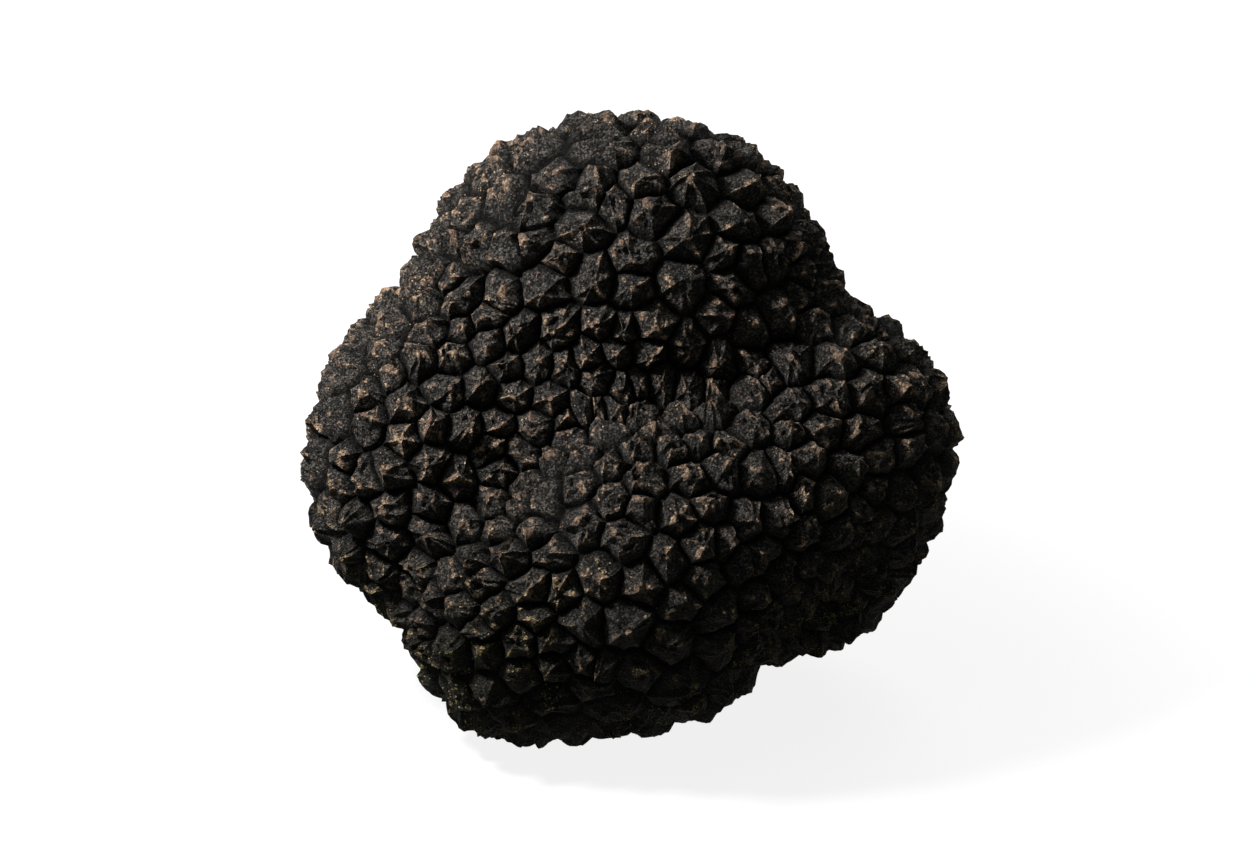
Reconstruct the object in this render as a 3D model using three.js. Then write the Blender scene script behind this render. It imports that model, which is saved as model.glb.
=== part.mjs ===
// A black truffle: one solid, lobed body whose whole skin is a mosaic of blunt pyramid warts.
// Millimetres. X runs across its width, Y from its front to its back, and Z is up.
// It rests on a small flat spot in the plane Z = 0, and the origin is under the middle of its bounding box.
import * as THREE from "three";
import { ConvexHull } from "three/addons/math/ConvexHull.js";

// Driving dimensions.
const WIDTH = 67; // across the side lobes, wart tips included
const WART_COUNT = 680;
const WART_HEIGHT = 0.27; // crown above the skin, as a share of the distance to the next wart
const VALLEY_DEPTH = 0.09; // how far the corners between warts sink, as the same kind of share
const CROWN_WIDTH = 0.48; // width of a wart's blunt crown, as a share of its base
const CROWN_SWELL = 0.11; // how far the crown's rim stands out of a plain pyramid, as a share like the height
const FOLD_ROUNDING = 1.2; // how softly two lobes run into each other
const SEED = 7;

// The lobes that the body has grown together from: centre and half-axes.
const LOBES = {
  crown: { centre: [0.9, 8.5, 39.9], halfAxes: [21.2, 15.6, 18.7] },
  heart: { centre: [0, 4, 24], halfAxes: [18, 16, 16] },
  leftShoulder: { centre: [-15.2, 3, 31.2], halfAxes: [13, 12, 12.6] },
  leftCheek: { centre: [-19.2, -2, 24.8], halfAxes: [12, 13, 14.8] },
  throat: { centre: [-5.5, -3, 29], halfAxes: [10, 8, 10] },
  belly: { centre: [3, -13.2, 18.2], halfAxes: [14.6, 12, 15.6] },
  frontFoot: { centre: [-8, -11.8, 14], halfAxes: [12.8, 11.8, 13.4] },
  rightShelf: { centre: [12, -7.4, 23.8], halfAxes: [13.4, 11.6, 11.6] },
  rightCheek: { centre: [20.2, 2.5, 25.6], halfAxes: [14.6, 13.5, 15.2] },
  rightFoot: { centre: [17.8, 3.5, 15.4], halfAxes: [13.2, 12, 12.8] },
  backLeft: { centre: [-9, 14, 17], halfAxes: [14, 12, 16] },
  backRight: { centre: [9, 15, 22], halfAxes: [13, 12, 14] },
  base: { centre: [0, 1, 10], halfAxes: [16, 14, 12.3] },
};
const RAY_ORIGIN = new THREE.Vector3(0, 2, 26); // a point inside every line of sight to the skin

// A seeded random number from 0 to 1, so that every build grows the same truffle.
function seededRandom(seed) {
  let state = seed >>> 0;
  return () => {
    state = (state + 0x6d2b79f5) >>> 0;
    let t = Math.imul(state ^ (state >>> 15), 1 | state);
    t = (t + Math.imul(t ^ (t >>> 7), 61 | t)) ^ t;
    return ((t ^ (t >>> 14)) >>> 0) / 4294967296;
  };
}
const random = seededRandom(SEED);
const between = (low, high) => low + (high - low) * random();

// The smooth body, as the signed distance to the lobes blended together. Also gives the way out of the skin,
// and how far one lobe rules there: 1 on a lobe, and down to a half or less in a fold between lobes.
const lobes = Object.values(LOBES).map(({ centre, halfAxes }) => ({
  centre: new THREE.Vector3(...centre),
  halfAxes: new THREE.Vector3(...halfAxes),
  size: Math.cbrt(halfAxes[0] * halfAxes[1] * halfAxes[2]),
}));

function bodyAt(point) {
  let total = 0;
  let squares = 0;
  const outward = new THREE.Vector3();
  for (const lobe of lobes) {
    const local = point.clone().sub(lobe.centre).divide(lobe.halfAxes);
    const reach = Math.max(local.length(), 1e-6);
    const weight = Math.exp((-(reach - 1) * lobe.size) / FOLD_ROUNDING);
    outward.addScaledVector(local.divide(lobe.halfAxes), (weight * lobe.size) / reach);
    total += weight;
    squares += weight * weight;
  }
  outward.divideScalar(total);
  return {
    distance: -FOLD_ROUNDING * Math.log(total),
    slope: outward.length(),
    outward: outward.normalize(),
    oneLobe: squares / (total * total),
  };
}

// Moves a point that is near the skin onto it.
function ontoSkin(point) {
  for (let step = 0; step < 6; step++) {
    const { distance, slope, outward } = bodyAt(point);
    point.addScaledVector(outward, -distance / slope);
  }
  return point;
}

// Where a ray from the middle of the body leaves it.
function skinAlong(direction) {
  let inside = 5;
  let outside = WIDTH;
  while (outside - inside > 0.01) {
    const middle = (inside + outside) / 2;
    const point = RAY_ORIGIN.clone().addScaledVector(direction, middle);
    if (bodyAt(point).distance < 0) inside = middle;
    else outside = middle;
  }
  return RAY_ORIGIN.clone().addScaledVector(direction, inside);
}

// Evenly spread directions, on a golden-angle spiral.
function spiralDirections(count) {
  const goldenAngle = Math.PI * (3 - Math.sqrt(5));
  return Array.from({ length: count }, (_, i) => {
    const z = 1 - (2 * i + 1) / count;
    const r = Math.sqrt(1 - z * z);
    return new THREE.Vector3(r * Math.cos(i * goldenAngle), r * Math.sin(i * goldenAngle), z);
  });
}

// The triangles that join neighbouring directions, as index triples facing out.
function hullTriangles(directions) {
  const index = new Map(directions.map((direction, i) => [direction, i]));
  return new ConvexHull().setFromPoints(directions).faces.map((face) => {
    const first = face.edge;
    return [first, first.next, first.next.next].map((edge) => index.get(edge.head().point));
  });
}

// Flips each edge between two triangles whose opposite angles add up to more than a half turn.
function flipToDelaunay(triangles, sites) {
  const angleAt = (a, b, c) => sites[b].clone().sub(sites[a]).angleTo(sites[c].clone().sub(sites[a]));
  for (let pass = 0; pass < 30; pass++) {
    const owner = new Map();
    for (const [i, [a, b, c]] of triangles.entries())
      owner.set(`${a},${b}`, [i, c]).set(`${b},${c}`, [i, a]).set(`${c},${a}`, [i, b]);
    const touched = new Set();
    let flips = 0;
    for (const [key, [one, c]] of owner) {
      const [a, b] = key.split(",").map(Number);
      const [two, d] = owner.get(`${b},${a}`);
      if (a > b || touched.has(one) || touched.has(two)) continue;
      if (angleAt(c, a, b) + angleAt(d, a, b) < Math.PI + 1e-6 || owner.has(`${c},${d}`)) continue;
      triangles[one] = [c, a, d];
      triangles[two] = [c, d, b];
      owner.set(`${c},${d}`, [two, b]).set(`${d},${c}`, [one, a]);
      touched.add(one).add(two);
      flips++;
    }
    if (!flips) return;
  }
}

// How far apart warts like to stand at a point, relative to the mean: closer in a fold, and uneven all over.
function spacingAt(point) {
  const swell = Math.sin(point.x / 7 + 1) + Math.sin(point.y / 6 + 2) + Math.sin(point.z / 8);
  return (0.84 + 0.18 * bodyAt(point).oneLobe) * (1 + 0.05 * swell);
}

// Moves every site to the middle of the triangles round it, weighted so that spacing follows spacingAt.
function relax(triangles, sites) {
  const sums = sites.map(() => new THREE.Vector4(0, 0, 0, 0));
  for (const [a, b, c] of triangles) {
    const triangle = new THREE.Triangle(sites[a], sites[b], sites[c]);
    const middle = triangle.getMidpoint(new THREE.Vector3());
    const weight = triangle.getArea() / spacingAt(middle) ** 4;
    const pull = new THREE.Vector4(middle.x, middle.y, middle.z, 1).multiplyScalar(weight);
    for (const i of [a, b, c]) sums[i].add(pull);
  }
  sites.forEach((site, i) => {
    const { x, y, z, w } = sums[i];
    ontoSkin(site.set(x / w, y / w, z / w));
  });
  flipToDelaunay(triangles, sites);
}

// Shifts every site a little along the skin, so that no two warts are alike.
function jitter(triangles, sites, share) {
  const reach = meanSpacing(triangles, sites);
  for (const [i, site] of sites.entries()) {
    const shift = new THREE.Vector3(between(-1, 1), between(-1, 1), between(-1, 1));
    ontoSkin(site.addScaledVector(shift, share * reach[i]));
  }
  flipToDelaunay(triangles, sites);
}

// For each site, the mean distance to its neighbours.
function meanSpacing(triangles, sites) {
  const sum = new Float64Array(sites.length);
  const count = new Float64Array(sites.length);
  for (const t of triangles)
    t.forEach((a, k) => {
      sum[a] += sites[a].distanceTo(sites[t[(k + 1) % 3]]);
      count[a]++;
    });
  return sum.map((s, i) => s / count[i]);
}

// The corner where three warts meet: the point as far from each site, kept well inside their triangle.
function cornerOf(a, b, c) {
  const sides = [b.distanceToSquared(c), c.distanceToSquared(a), a.distanceToSquared(b)];
  const sum = sides[0] + sides[1] + sides[2];
  const raw = sides.map((side) => side * (sum - 2 * side));
  const whole = raw[0] + raw[1] + raw[2];
  const shares = raw.map((w) => Math.max(w / whole, 0.16));
  const kept = shares[0] + shares[1] + shares[2];
  const point = new THREE.Vector3();
  [a, b, c].forEach((site, k) => point.addScaledVector(site, shares[k] / kept));
  return ontoSkin(point);
}

// The warts' sites and the triangles between them.
function wartSites() {
  const directions = spiralDirections(WART_COUNT);
  const triangles = hullTriangles(directions);
  const sites = directions.map(skinAlong);
  flipToDelaunay(triangles, sites);
  for (let round = 0; round < 60; round++) relax(triangles, sites);
  jitter(triangles, sites, 0.5);
  relax(triangles, sites);
  jitter(triangles, sites, 0.1);
  return { sites, triangles };
}

// The skin: each wart is a blunt pyramid. Its crown is fanned from its middle to the rim, and its sides run
// from the rim down to the corners that it shares with the warts round it.
function truffleGeometry() {
  const { sites, triangles } = wartSites();
  const spacing = meanSpacing(triangles, sites);
  const warts = sites.map((site, i) => {
    const { outward, oneLobe } = bodyAt(site);
    const height = WART_HEIGHT * spacing[i] * between(0.8, 1.2) * (0.7 + 0.3 * oneLobe);
    const lean = new THREE.Vector3(between(-1, 1), between(-1, 1), between(-1, 1)).projectOnPlane(outward);
    const middle = site.clone().addScaledVector(outward, height).addScaledVector(lean, 0.12 * spacing[i]);
    return { middle, outward, spacing: spacing[i], crownWidth: CROWN_WIDTH * between(0.7, 1.3) };
  });
  const corners = triangles.map(([a, b, c]) => {
    const corner = cornerOf(sites[a], sites[b], sites[c]);
    const depth = (VALLEY_DEPTH * (spacing[a] + spacing[b] + spacing[c])) / 3;
    return corner.addScaledVector(bodyAt(corner).outward, -depth);
  });
  const rims = triangles.flatMap((triangle, i) =>
    triangle.map((a) => {
      const { middle, outward, spacing, crownWidth } = warts[a];
      const reach = crownWidth * between(0.9, 1.1);
      const swell = CROWN_SWELL * spacing * between(0.6, 1.4);
      return middle.clone().lerp(corners[i], reach).addScaledVector(outward, swell);
    })
  );

  // Across each edge between two sites lies the valley from one corner to the other. Above it, on the wart of
  // the first site, are a triangle of the crown and the two triangles of a side.
  const owner = new Map();
  triangles.forEach((t, i) => t.forEach((a, k) => owner.set(`${a},${t[(k + 1) % 3]}`, i)));
  const cornerIndex = (i) => sites.length + i;
  const rimIndex = (a, i) => sites.length + corners.length + 3 * i + triangles[i].indexOf(a);
  const facets = [];
  for (const [key, far] of owner) {
    const [a, b] = key.split(",").map(Number);
    const near = owner.get(`${b},${a}`);
    facets.push(a, rimIndex(a, near), rimIndex(a, far));
    facets.push(rimIndex(a, near), cornerIndex(near), cornerIndex(far));
    facets.push(rimIndex(a, near), cornerIndex(far), rimIndex(a, far));
  }
  const geometry = new THREE.BufferGeometry();
  geometry.setFromPoints([...warts.map((wart) => wart.middle), ...corners, ...rims]);
  geometry.setIndex(facets);
  return geometry;
}

// Presses flat what reaches below the ground, then scales the truffle to its width and centres it.
function settle(geometry) {
  const position = geometry.getAttribute("position");
  for (let i = 0; i < position.count; i++) position.setZ(i, Math.max(position.getZ(i), 0));
  geometry.computeBoundingBox();
  const { min, max } = geometry.boundingBox;
  geometry.translate(-(min.x + max.x) / 2, -(min.y + max.y) / 2, 0);
  const scale = WIDTH / (max.x - min.x);
  geometry.scale(scale, scale, scale);
  geometry.computeVertexNormals();
  return geometry;
}

const skin = new THREE.MeshStandardMaterial({ color: 0x2b2725, roughness: 0.85, metalness: 0 });
const truffle = new THREE.Mesh(settle(truffleGeometry()), skin);
truffle.name = "truffle";

const part = new THREE.Group();
part.add(truffle);
export default part;
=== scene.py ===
import math

import bpy
import numpy as np
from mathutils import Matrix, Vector, noise


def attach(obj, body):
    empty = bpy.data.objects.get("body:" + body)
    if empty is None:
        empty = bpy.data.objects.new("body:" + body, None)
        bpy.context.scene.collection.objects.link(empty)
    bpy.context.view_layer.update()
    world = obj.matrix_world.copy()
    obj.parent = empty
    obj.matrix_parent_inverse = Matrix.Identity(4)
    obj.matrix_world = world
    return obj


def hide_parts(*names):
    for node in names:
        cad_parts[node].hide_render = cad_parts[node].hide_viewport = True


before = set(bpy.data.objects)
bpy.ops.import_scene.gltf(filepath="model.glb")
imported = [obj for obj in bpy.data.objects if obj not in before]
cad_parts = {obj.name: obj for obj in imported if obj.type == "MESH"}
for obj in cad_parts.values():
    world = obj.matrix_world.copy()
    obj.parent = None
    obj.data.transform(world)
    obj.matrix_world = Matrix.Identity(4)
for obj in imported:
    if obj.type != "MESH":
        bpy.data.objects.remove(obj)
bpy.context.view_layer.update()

MM = 0.001  # lengths below are in millimetres until a mesh or an object is made
SEED = 11

# How the solid is split. A sector is the part of a wart above one valley: a triangle of its crown and a side.
STEPS = 7  # into how many rows a sector is split, from the middle of the crown down to the valley
CROWN_STEPS = 3  # how many of them lie on the crown
HEART = np.array([0.0, 2.0, 26.0])  # a point inside the body, in sight of its whole skin
SHARP_ANGLE = 20.0  # edges that turn more than this stay sharp

# The shape of the warts.
SHARPENING = 0.6  # how far a blunt wart of the solid is brought back to a plain pyramid
TALLEST = 1.2  # a wart that stands higher than this is brought down
TALL_CUT = 0.8  # how much of its extra height it loses
PEAK = (-0.35, 0.25)  # how far the middle of a crown stands up, least and most
PITTED = 0.3  # share of warts with a pit in the crown
PIT_SIZE = 0.9
PIT_DEPTH = 0.6
RIDGE_HEIGHT = 0.24
RIDGE_WIDTH = 0.18
RIDGE_STRENGTH = (0.2, 1.5)  # least and most, from wart to wart
FLUTES = 1.6  # how many flutes there are round a wart, in turns of noise
FLUTE_HEIGHT = 0.16
DEEPENING = 0.42  # how much deeper the valleys are than in the solid
CRACK_DEPTH = 0.14  # the sharp bottom of the valley between two warts
CRACK_WIDTH = 0.16

# The roughness of the rind.
CRAG_SIZE = 1.4
CRAG_HEIGHT = (0.12, 0.25)  # on the sides of a wart, and on its crown
LUMPS = ((2.4, 0.16), (1.0, 0.06), (0.5, 0.05))  # (size, height), coarse to fine
SWAY = ((2.6, 0.45), (0.9, 0.12))  # (size, reach) of the wander of ridges and valleys
GROUND_FADE = 1.2  # the skin is smoothed to the ground below this height
WORN_BASE = (1.0, 12.0)  # the warts are worn down below the second height, and most below the first
WORN_SHARE = 0.3  # how much of their roughness is left there

# The camera looks at the truffle from its front, a little from above.
ELEVATION = 22.0
AIM = Vector((0.0, 0.0, 28.4))
LENS = 90.0
SENSOR = 36.0
FRAME_WIDTH = 124.2  # the width of the picture at the truffle


def smoothstep(low, high, x):
    x = np.clip((x - low) / (high - low), 0, 1)
    return x * x * (3 - 2 * x)


def bell(distance, width):
    """1 at distance 0, falling smoothly to nothing at about twice the width."""
    return np.exp(-((distance / width) ** 2))


def unit(vectors, least=0.0):
    """The vectors at length 1. One that is shorter than the least length stays shorter than 1."""
    return vectors / np.maximum(np.linalg.norm(vectors, axis=1), least)[:, None]


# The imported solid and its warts.


def solid_of(node):
    """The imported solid's points in mm, and its triangles."""
    mesh = node.data
    mesh.calc_loop_triangles()
    places = np.empty(len(mesh.vertices) * 3)
    mesh.vertices.foreach_get("co", places)
    corners = np.empty(len(mesh.loop_triangles) * 3, np.int32)
    mesh.loop_triangles.foreach_get("vertices", corners)
    places = np.round(places.reshape(-1, 3) / MM, 3)
    points, index = np.unique(places, axis=0, return_inverse=True)
    return points, index.ravel()[corners].reshape(-1, 3)


def wart_sectors(triangles):
    """The sectors of the warts, each as five points of the solid: the middle of the crown, the two ends of its
    rim, and the two corners of the valley below.

    The walk goes from sector to sector, round each crown and over each valley."""
    beside = {}
    for triangle in triangles.tolist():
        for k in range(3):
            beside[triangle[k], triangle[(k + 1) % 3]] = triangle[(k + 2) % 3]
    # A crown's middle with six sides is the only kind of point with six edges: a rim has five, a corner nine.
    edges = np.bincount(triangles.ravel())
    middle = int(np.flatnonzero(edges == 6)[0])
    rim = next(b for a, b in beside if a == middle)
    found = {}
    todo = [(middle, rim)]
    while todo:
        crown, near = todo.pop()
        if (crown, near) in found:
            continue
        far = beside[crown, near]
        far_corner = beside[far, near]
        near_corner = beside[far_corner, near]
        found[crown, near] = (crown, near, far, near_corner, far_corner)
        todo.append((crown, far))
        next_near = beside[far_corner, near_corner]
        next_far = beside[next_near, near_corner]
        todo.append((beside[next_near, next_far], next_near))
    return np.array(list(found.values()))


def corner_normals(places, faces):
    """The normals of the faces added up at each place, larger faces counting for more."""
    a, b, c = (places[faces[:, k]] for k in range(3))
    face_normals = np.cross(b - a, c - a)
    normals = np.zeros_like(places)
    for k in range(3):
        np.add.at(normals, faces[:, k], face_normals)
    return normals


def smooth_normals(points, triangles, rounds):
    """The way out at each point of the solid, averaged over the warts around it."""
    normals = corner_normals(points, triangles)
    for _ in range(rounds):
        normals = unit(normals)
        spread = normals.copy()
        for k in range(3):
            np.add.at(spread, triangles[:, k], normals[triangles[:, (k + 1) % 3]])
        normals = spread
    return unit(normals)


def wart_heights(points, sectors, normals):
    """For each wart, by its crown's middle, how far that stands above the corners round it."""
    crown = sectors[:, 0]
    above = points[crown] - points[sectors[:, 3:]].mean(1)
    rise = np.einsum("nx,nx->n", above, normals[crown])
    sides = np.maximum(np.bincount(crown, minlength=len(points)), 1)
    return np.bincount(crown, rise, len(points)) / sides


# The finer grid over every sector.


def sector_grid():
    """A sector's grid: its places as (row, k), counted from the middle of the crown, and its triangles."""
    places = [(row, k) for row in range(STEPS + 1) for k in range(row + 1)]
    number = {place: i for i, place in enumerate(places)}
    small = []
    for row in range(STEPS):
        for k in range(row + 1):
            small.append((number[row, k], number[row + 1, k], number[row + 1, k + 1]))
            if k < row:
                small.append((number[row, k], number[row + 1, k + 1], number[row, k + 1]))
    return np.array(places), np.array(small)


def shares_of_points(row, k):
    """How much each of a sector's five points counts at a place of its grid."""
    across = k / max(row, 1)
    if row <= CROWN_STEPS:
        down = row / CROWN_STEPS
        blunt = (1 - down, down * (1 - across), down * across, 0, 0)
    else:
        down = (row - CROWN_STEPS) / (STEPS - CROWN_STEPS)
        blunt = (0, (1 - down) * (1 - across), (1 - down) * across, down * (1 - across), down * across)
    down = row / STEPS
    plain = (1 - down, 0, 0, down * (1 - across), down * across)
    return np.array(blunt) * (1 - SHARPENING) + np.array(plain) * SHARPENING


def join(sectors, grid):
    """Numbers the places of all the sectors' grids, so that a place on a shared edge has one number.
    Returns the numbers, sector by sector, and the first sector and place that each number stands for."""
    owners = sectors[:, None, [0, 3, 4]] + 1
    row, k = grid[:, 0], grid[:, 1]
    weights = np.stack([STEPS - row, row - k, k], 1)[None]
    owners = np.where(weights > 0, owners, 0)
    order = np.argsort(owners, axis=2)
    owners = np.take_along_axis(owners, order, 2)
    weights = np.take_along_axis(np.broadcast_to(weights, owners.shape), order, 2)
    key = np.zeros(owners.shape[:2], np.int64)
    for i in range(3):
        key = (key * 16384 + owners[:, :, i]) * 16 + weights[:, :, i]
    _, first, number = np.unique(key.ravel(), return_index=True, return_inverse=True)
    return number.reshape(key.shape), first // len(grid), first % len(grid)


# Noise over the skin.


def noise_at(points, size, octaves=3):
    """Smooth noise of about -1 to 1 with lumps of this size."""
    return np.array([noise.fractal(Vector(p), 0.9, 2.0, octaves) for p in points / size])


def crags_at(points, size):
    """Noise of about -1 to 1 with sharp crests."""
    crags = np.array([noise.ridged_multi_fractal(Vector(p), 0.9, 2.1, 3, 1.0, 2.0) for p in points / size])
    return (crags - crags.mean()) / (2 * crags.std())


def wander_at(points, size):
    """A smooth shift in all three directions, each from noise taken at a far place of its own."""
    return np.stack([noise_at(points + far * size, size, 1) for far in (10, 30, 50)], 1)


# The fine skin.


class Spots:
    """Every point of the fine skin, before it is roughened: where it is, and where on its wart that is."""

    def __init__(self, points, sectors, normals, grid, at):
        shares = np.array([shares_of_points(row, k) for row, k in grid])[at]
        five = points[sectors]
        self.wart = sectors[:, 0]
        self.place = np.einsum("nk,nkx->nx", shares, five)
        self.out = unit(np.einsum("nk,nkx->nx", shares, normals[sectors]))

        row, k = grid[at].T
        across = k / np.maximum(row, 1)
        width = np.linalg.norm(five[:, 4] - five[:, 3], axis=1)
        side = np.linalg.norm(five[:, 1:3].mean(1) - five[:, 3:].mean(1), axis=1)
        self.down = row / STEPS  # 0 in the middle of the crown and 1 in the valley
        self.from_ridge = np.minimum(across, 1 - across) * self.down * width
        self.from_valley = (STEPS - row) / (STEPS - CROWN_STEPS) * side
        self.summit = np.clip(1 - row / (CROWN_STEPS + 1), 0, 1)  # 1 in the middle of the crown, 0 off it
        # 1 on the crown and 0 on the sides, and 0 on the crown and 1 in the valley.
        self.crown = smoothstep((CROWN_STEPS + 1.6) / STEPS, (CROWN_STEPS - 0.6) / STEPS, self.down)
        self.valley = np.clip((row - CROWN_STEPS) / (STEPS - CROWN_STEPS), 0, 1)

    def spokes(self, middles):
        """The way along the skin from the middle of the wart, as vectors of length 1."""
        spoke = self.place - middles
        spoke -= self.out * np.einsum("nx,nx->n", spoke, self.out)[:, None]
        return unit(spoke, 0.05)


def relief(spots, spoke, pitted, strength, peak, extra_height):
    """How far each spot of the fine skin stands out from where it was."""
    down, crown = spots.down, spots.crown
    lumps = [noise_at(spots.place, size) for size, _ in LUMPS]
    rough = WORN_SHARE + (1 - WORN_SHARE) * smoothstep(*WORN_BASE, spots.place[:, 2])
    ridge = bell(spots.from_ridge, RIDGE_WIDTH) * smoothstep(0, 0.15, down) * smoothstep(1, 0.75, down)
    crack = bell(spots.from_valley, CRACK_WIDTH)
    pit = smoothstep(0.1, 0.5, noise_at(spots.place, PIT_SIZE, 2))

    rise = sum(lump * height for lump, (_, height) in zip(lumps, LUMPS))
    rise -= TALL_CUT * extra_height * (1 - down)
    rise += peak * spots.summit
    rise += crags_at(spots.place, CRAG_SIZE) * np.interp(crown, (0, 1), CRAG_HEIGHT) * rough
    rise += RIDGE_HEIGHT * ridge * strength
    rise -= PIT_DEPTH * pitted * crown * pit
    rise += FLUTE_HEIGHT * noise_at(spoke, 1 / FLUTES, 2) * smoothstep(0.1, 0.6, down)
    rise -= CRACK_DEPTH * crack * (1 + lumps[0])
    rise -= DEEPENING * spots.valley**3 * rough
    return rise


def roughened(spots, rise):
    """Where each spot ends up. Near the ground the skin is smoother, and none of it goes below."""
    ground = smoothstep(0, GROUND_FADE, spots.place[:, 2])
    rise = np.where(rise > 0, rise * ground, rise * (0.25 + 0.75 * ground))
    wander = sum(reach * wander_at(spots.place, size) for size, reach in SWAY)
    wander[:, 2] *= ground
    wander *= 0.3 + 0.7 * ground[:, None]
    place = spots.place + (spots.out * rise[:, None] + wander)
    place[:, 2] = np.maximum(place[:, 2], 0)
    return place


def crests_at(place, faces):
    """How sharply the skin bulges at each point: above 0 on a crest and below 0 in a hollow."""
    around = np.zeros_like(place)
    reach = np.zeros(len(place))
    count = np.zeros(len(place))
    for k in range(3):
        here, there = faces[:, k], faces[:, (k + 1) % 3]
        np.add.at(around, here, place[there])
        np.add.at(reach, here, np.linalg.norm(place[there] - place[here], axis=1))
        np.add.at(count, here, 1)
    offset = place - around / count[:, None]
    crest = np.einsum("nx,nx->n", offset, unit(corner_normals(place, faces))) / (reach / count)
    spread = crest.copy()
    for k in range(3):
        np.add.at(spread, faces[:, k], crest[faces[:, (k + 1) % 3]])
    return spread / (count + 1)


def unfolded(place, faces):
    """Lays the skin out on the six sides of a cube round the heart."""
    direction = place - HEART
    middle = direction[faces].mean(1)
    axis = np.abs(middle).argmax(1)
    side = axis * 2 + (middle[np.arange(len(faces)), axis] > 0)
    corner = direction[faces]
    depth = np.abs(np.take_along_axis(corner, axis[:, None, None], 2))
    others = np.array([(1, 2), (0, 2), (0, 1)])[axis]
    flat = np.take_along_axis(corner, np.repeat(others[:, None, :], 3, 1), 2) / depth
    cell = np.stack([side % 3, side // 3], 1)[:, None, :]
    return ((cell + 0.5 + flat * 0.47) / np.array([3, 2])).reshape(-1, 2)


def add_values(mesh, name, values):
    """Stores a number or a vector for every point of the mesh."""
    kind, field = ("FLOAT", "value") if values.ndim == 1 else ("FLOAT_VECTOR", "vector")
    attribute = mesh.attributes.new(name, kind, "POINT")
    attribute.data.foreach_set(field, values.astype(np.float32).ravel())


def add_map(mesh, name, places):
    layer = mesh.uv_layers.new(name=name)
    layer.uv.foreach_set("vector", places.astype(np.float32).ravel())


def grow_skin(node):
    """The fine skin: crumbled and pitted crowns, ridges and flutes down the warts' sides, and deep valleys."""
    points, triangles = solid_of(node)
    sectors = wart_sectors(triangles)
    normals = smooth_normals(points, triangles, rounds=4)
    grid, small = sector_grid()
    number, sector, at = join(sectors, grid)
    faces = number[:, small].reshape(-1, 3)
    spots = Spots(points, sectors[sector], normals, grid, at)

    rng = np.random.default_rng(SEED)
    pitted = (rng.random(len(points)) < PITTED)[spots.wart]
    strength = rng.uniform(*RIDGE_STRENGTH, len(points))[spots.wart]
    peak = rng.uniform(*PEAK, len(points))[spots.wart]
    start = rng.uniform(0, 50, (len(points), 3))[spots.wart]
    spoke = spots.spokes(points[spots.wart]) + start
    extra_height = np.maximum(wart_heights(points, sectors, normals) - TALLEST, 0)[spots.wart]
    place = roughened(spots, relief(spots, spoke, pitted, strength, peak, extra_height))

    mesh = bpy.data.meshes.new("truffle_skin")
    mesh.from_pydata((place * MM).tolist(), [], faces.tolist())
    mesh.shade_smooth()
    mesh.set_sharp_from_angle(angle=math.radians(SHARP_ANGLE))
    add_values(mesh, "crown", spots.crown)
    add_values(mesh, "valley", spots.valley)
    add_values(mesh, "crest", crests_at(place, faces))
    add_values(mesh, "spoke", spoke)
    add_map(mesh, "OFBake", unfolded(place, faces))

    skin = bpy.data.objects.new("truffle_skin", mesh)
    bpy.context.scene.collection.objects.link(skin)
    return skin


# Materials.


def srgb(red, green, blue):
    """A colour as written in a picture, 0 to 255, as the linear colour that a shader takes."""
    linear = (((c / 255 + 0.055) / 1.055) ** 2.4 if c > 10 else c / 255 / 12.92 for c in (red, green, blue))
    return (*linear, 1.0)


class Nodes:
    """Adds and joins the nodes of one material."""

    def __init__(self, tree):
        self.tree = tree
        tree.nodes.clear()

    def add(self, kind, inputs=None, **settings):
        node = self.tree.nodes.new(kind)
        for name, value in settings.items():
            setattr(node, name, value)
        for name, value in (inputs or {}).items():
            if isinstance(value, bpy.types.NodeSocket):
                self.tree.links.new(value, node.inputs[name])
            else:
                node.inputs[name].default_value = value
        return node

    def math(self, operation, a, b):
        return self.add("ShaderNodeMath", {0: a, 1: b}, operation=operation).outputs[0]

    def times(self, a, b):
        return self.math("MULTIPLY", a, b)

    def total(self, *terms):
        """The sum of values, each given with its weight."""
        parts = [self.times(value, weight) for value, weight in terms]
        total = parts[0]
        for part in parts[1:]:
            total = self.math("ADD", total, part)
        return total

    def swing(self, value):
        """A value of 0 to 1 as one that swings about 0."""
        return self.math("SUBTRACT", value, 0.5)

    def ramp(self, value, low, high):
        """0 below low and 1 above high, with a soft step between."""
        inputs = {"Value": value, "From Min": low, "From Max": high}
        return self.add("ShaderNodeMapRange", inputs, interpolation_type="SMOOTHSTEP").outputs[0]

    def mix(self, factor, a, b):
        node = self.add("ShaderNodeMix", data_type="RGBA")
        for name, value in (("Factor", factor), ("A", a), ("B", b)):
            socket = next(s for s in node.inputs if s.name == name and s.enabled)
            if isinstance(value, bpy.types.NodeSocket):
                self.tree.links.new(value, socket)
            else:
                socket.default_value = value
        return next(s for s in node.outputs if s.enabled)

    def noise(self, places, size, detail, roughness=0.5):
        inputs = {"Vector": places, "Scale": 1 / size, "Detail": detail, "Roughness": roughness}
        return self.add("ShaderNodeTexNoise", inputs).outputs["Fac"]

    def cells(self, places, per_mm):
        """Cells of which there are this many per mm: how far the middle is, and a number for each cell."""
        node = self.add("ShaderNodeTexVoronoi", {"Vector": places, "Scale": per_mm, "Randomness": 1.0})
        number = self.add("ShaderNodeSeparateColor", {0: node.outputs["Color"]}).outputs[0]
        return node.outputs["Distance"], number

    def attribute(self, name, output="Fac"):
        return self.add("ShaderNodeAttribute", attribute_name=name).outputs[output]


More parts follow.
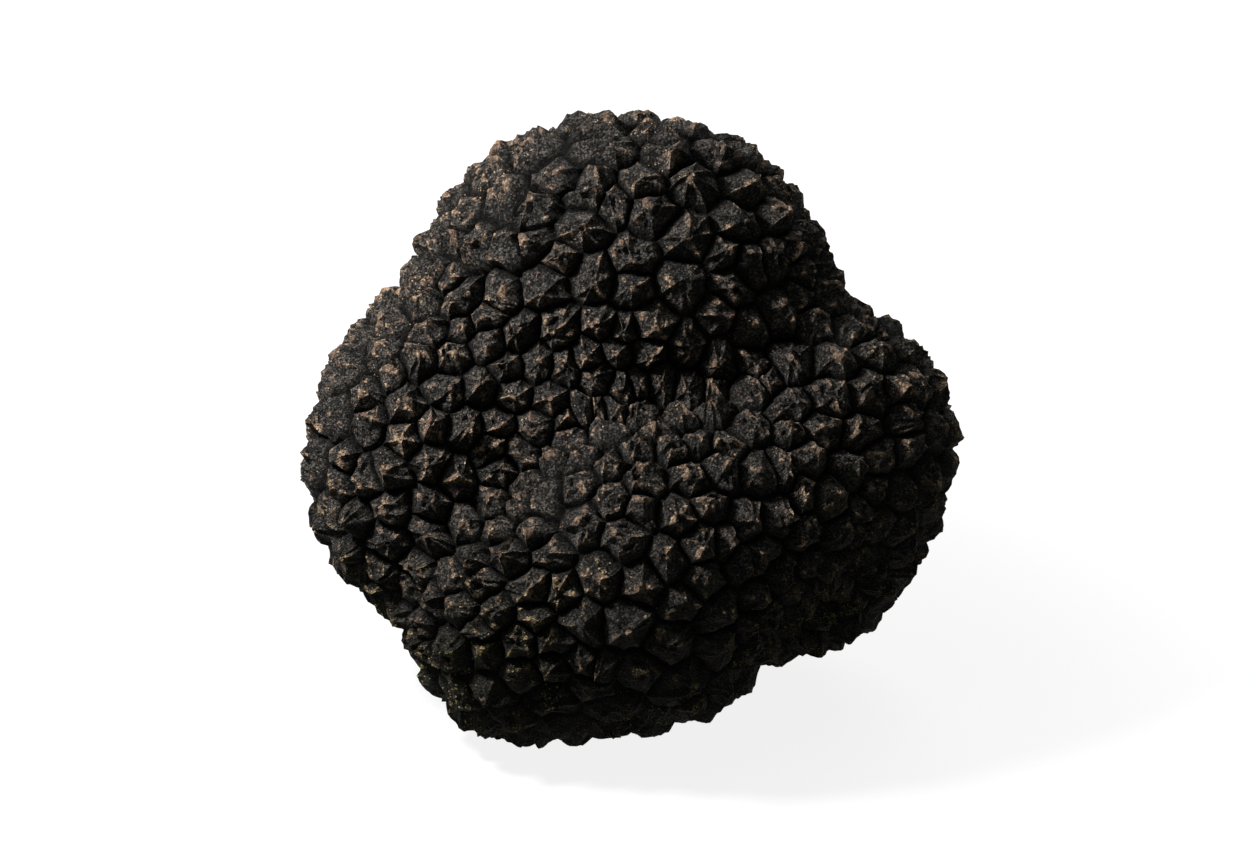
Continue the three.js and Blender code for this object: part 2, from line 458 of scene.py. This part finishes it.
def rind_material():
    """Dull black-grey rind, brown crests, tan crumbs, olive low down; painted shade: near-black valleys,
    darker bottom.
    """
    material = bpy.data.materials.new("rind")
    material.use_nodes = True
    nodes = Nodes(material.node_tree)
    coordinates = nodes.add("ShaderNodeTexCoord").outputs["Object"]
    places = nodes.add("ShaderNodeVectorMath", {0: coordinates, "Scale": 1 / MM}, operation="SCALE").outputs[0]
    height = nodes.add("ShaderNodeSeparateXYZ", {0: places}).outputs["Z"]
    crown, valley, crest = (nodes.attribute(name) for name in ("crown", "valley", "crest"))

    # Patterns, from 0 to 1. Each noise is given its size in mm, its detail and its roughness.
    patches = nodes.noise(places, 6.0, 2.0)
    mottle = nodes.noise(places, 1.4, 4.0, 0.6)
    crumbs = nodes.noise(places, 0.5, 5.0, 0.75)
    grain = nodes.noise(places, 0.38, 3.0, 0.9)
    streaks = nodes.noise(nodes.attribute("spoke", "Vector"), 0.16, 2.0, 0.6)
    from_granule, shade = nodes.cells(places, 4.5)
    gaps = nodes.ramp(from_granule, 0.3, 0.8)
    low = nodes.times(nodes.ramp(height, 28.0, 8.0), nodes.ramp(patches, 0.3, 0.6))
    edge = nodes.total((crest, 1.0), (nodes.swing(mottle), 0.15), (crown, 0.02))
    edge = nodes.ramp(edge, 0.09, 0.20)
    worn = nodes.total((edge, 0.9), (crown, 0.15), (nodes.swing(mottle), 1.0), (nodes.swing(patches), 1.2))

    # The sides of the warts: dull grey-black, paler on the edges.
    tone = nodes.total((mottle, 0.35), (grain, 0.35), (streaks, 0.1), (shade, 0.2))
    dark = nodes.mix(edge, srgb(48, 47, 46), srgb(44, 40, 37))
    pale = nodes.mix(edge, srgb(126, 119, 112), srgb(206, 184, 165))
    colour = nodes.mix(nodes.ramp(tone, 0.42, 0.62), dark, pale)
    # Painted shade: the gaps between the granules are darkened.
    colour = nodes.mix(nodes.times(gaps, 0.6), colour, srgb(22, 21, 20))
    # Worn crests and crowns: brown.
    brown = nodes.mix(low, srgb(162, 134, 115), srgb(120, 108, 76))
    colour = nodes.mix(nodes.times(nodes.ramp(worn, 0.4, 0.95), 0.75), colour, brown)
    # Painted shade: low down the rind is darker. In patches low down it is also tinged olive.
    colour = nodes.mix(nodes.times(nodes.ramp(height, 26.0, 4.0), 0.6), colour, srgb(12, 13, 10))
    colour = nodes.mix(nodes.times(low, 0.4), colour, srgb(44, 45, 32))
    # A crust of tan crumbs where it is most worn.
    crust = nodes.ramp(nodes.total((crumbs, 1.0), (worn, 0.16)), 0.64, 0.665)
    crust = nodes.times(crust, nodes.ramp(shade, 0.45, 0.6))
    tan = nodes.mix(low, srgb(226, 192, 158), srgb(215, 196, 132))
    tan = nodes.mix(nodes.ramp(mottle, 0.58, 0.42), tan, srgb(165, 136, 113))
    colour = nodes.mix(crust, colour, tan)
    # Painted shade: the valleys near-black.
    colour = nodes.mix(nodes.times(nodes.ramp(valley, 0.5, 0.97), 0.92), colour, srgb(20, 20, 18))
    # Single crumbs of soil, in clusters on the crests and low down. A cell's crumb is as large as its chance.
    from_crumb, chance = nodes.cells(places, 3.0)
    favoured = nodes.math("MAXIMUM", nodes.ramp(worn, -0.4, 0.9), nodes.times(low, 0.75))
    size = nodes.times(nodes.times(chance, chance), favoured)
    size = nodes.times(size, nodes.ramp(patches, 0.38, 0.58))
    speck = nodes.ramp(nodes.math("SUBTRACT", nodes.times(size, 0.65), from_crumb), 0.0, 0.06)
    colour = nodes.mix(speck, colour, nodes.mix(low, srgb(240, 205, 165), srgb(226, 207, 142)))

    bumps = nodes.total(
        (grain, 1.2), (crumbs, 1.2), (gaps, -0.3), (shade, 0.2), (mottle, 1.0), (speck, 0.3), (streaks, 0.3)
    )
    normal = nodes.add("ShaderNodeBump", {"Height": bumps, "Strength": 1.0, "Distance": 0.75 * MM}).outputs[0]

    dull = {"Roughness": 0.8, "Specular IOR Level": 0.12}
    shader = nodes.add("ShaderNodeBsdfPrincipled", {"Base Color": colour, "Normal": normal, **dull})
    nodes.add("ShaderNodeOutputMaterial", {"Surface": shader.outputs[0]})
    return material


def seen_directly(nodes):
    """1 where the camera sees the surface, or sees it in a reflection, and 0 for scattered light."""
    path = nodes.add("ShaderNodeLightPath").outputs
    seen = nodes.math("MAXIMUM", path["Is Camera Ray"], path["Is Glossy Ray"])
    return nodes.math("MAXIMUM", seen, path["Is Transmission Ray"])


def floor_material():
    """White where it is seen, with the shadow on it, but it throws back as little light as a dark table."""
    material = bpy.data.materials.new("floor")
    material.use_nodes = True
    nodes = Nodes(material.node_tree)
    places = nodes.add("ShaderNodeTexCoord").outputs["Object"]
    away = nodes.add("ShaderNodeVectorMath", {0: places}, operation="LENGTH").outputs["Value"]
    # The glow is a little weaker near the truffle, so that its shadow shows.
    level = nodes.math("ADD", nodes.times(nodes.ramp(away, 0.04, 0.09), 0.14), 0.86)
    glow = nodes.add("ShaderNodeEmission", {"Color": (1, 1, 1, 1), "Strength": level}).outputs[0]
    grey = nodes.add("ShaderNodeBsdfDiffuse", {"Color": (0.2, 0.2, 0.2, 1)}).outputs[0]
    bright = nodes.add("ShaderNodeAddShader", {0: grey, 1: glow}).outputs[0]
    dark = nodes.add("ShaderNodeBsdfDiffuse", {"Color": (0.018, 0.022, 0.015, 1)}).outputs[0]
    surface = nodes.add("ShaderNodeMixShader", {0: seen_directly(nodes), 1: dark, 2: bright}).outputs[0]
    nodes.add("ShaderNodeOutputMaterial", {"Surface": surface})
    return material


# The studio.


def make_floor():
    half = 3.0  # metres
    mesh = bpy.data.meshes.new("floor")
    corners = [(-half, -half, 0), (half, -half, 0), (half, half, 0), (-half, half, 0)]
    mesh.from_pydata(corners, [], [(0, 1, 2, 3)])
    floor = bpy.data.objects.new("floor", mesh)
    bpy.context.scene.collection.objects.link(floor)
    floor.data.materials.append(floor_material())


def make_world():
    """White behind the truffle, and a weak, slightly green fill on it."""
    world = bpy.data.worlds.new("studio")
    world.use_nodes = True
    bpy.context.scene.world = world
    nodes = Nodes(world.node_tree)
    white = nodes.add("ShaderNodeBackground", {"Color": (1, 1, 1, 1), "Strength": 1.0}).outputs[0]
    fill = nodes.add("ShaderNodeBackground", {"Color": (0.80, 1.0, 0.90, 1), "Strength": 0.075}).outputs[0]
    path = nodes.add("ShaderNodeLightPath").outputs
    surface = nodes.add("ShaderNodeMixShader", {0: path["Is Camera Ray"], 1: fill, 2: white}).outputs[0]
    nodes.add("ShaderNodeOutputWorld", {"Surface": surface})


def look_at_truffle(thing, azimuth, elevation, distance):
    """Puts a camera or a lamp at a distance from the truffle, aimed at it. Azimuth 0 is the front and -90
    the left."""
    azimuth, elevation = math.radians(azimuth), math.radians(elevation)
    flat = math.cos(elevation)
    back = Vector((math.sin(azimuth) * flat, -math.cos(azimuth) * flat, math.sin(elevation)))
    thing.location = (AIM + back * distance) * MM
    thing.rotation_euler = back.to_track_quat("Z", "Y").to_euler()
    bpy.context.scene.collection.objects.link(thing)


def make_lamp(name, azimuth, elevation, distance, strength, softness):
    """A round softbox. Softness is how wide it looks from the truffle, in degrees, and a strength of 1 shows a
    colour there as written."""
    light = bpy.data.lights.new(name, "AREA")
    light.shape = "DISK"
    light.size = 2 * distance * MM * math.tan(math.radians(softness) / 2)
    light.energy = (math.pi * distance * MM) ** 2 * strength
    lamp = bpy.data.objects.new(name, light)
    lamp.visible_camera = False
    look_at_truffle(lamp, azimuth, elevation, distance)


def make_camera():
    camera = bpy.data.cameras.new("camera")
    camera.lens = LENS
    camera.sensor_width = SENSOR
    eye = bpy.data.objects.new("camera", camera)
    look_at_truffle(eye, 0, ELEVATION, FRAME_WIDTH * LENS / SENSOR)
    bpy.context.scene.camera = eye


make_camera()
make_world()
make_floor()
make_lamp("softbox", azimuth=-71, elevation=45, distance=120, strength=1.38, softness=10)
make_lamp("overhead", azimuth=-60, elevation=76, distance=220, strength=0.15, softness=40)
make_lamp("rear", azimuth=160, elevation=38, distance=220, strength=0.45, softness=40)
bpy.context.scene.view_settings.view_transform = "Standard"

skin = grow_skin(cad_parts["truffle"])
skin.data.materials.append(rind_material())
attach(skin, "root")
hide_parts("truffle")
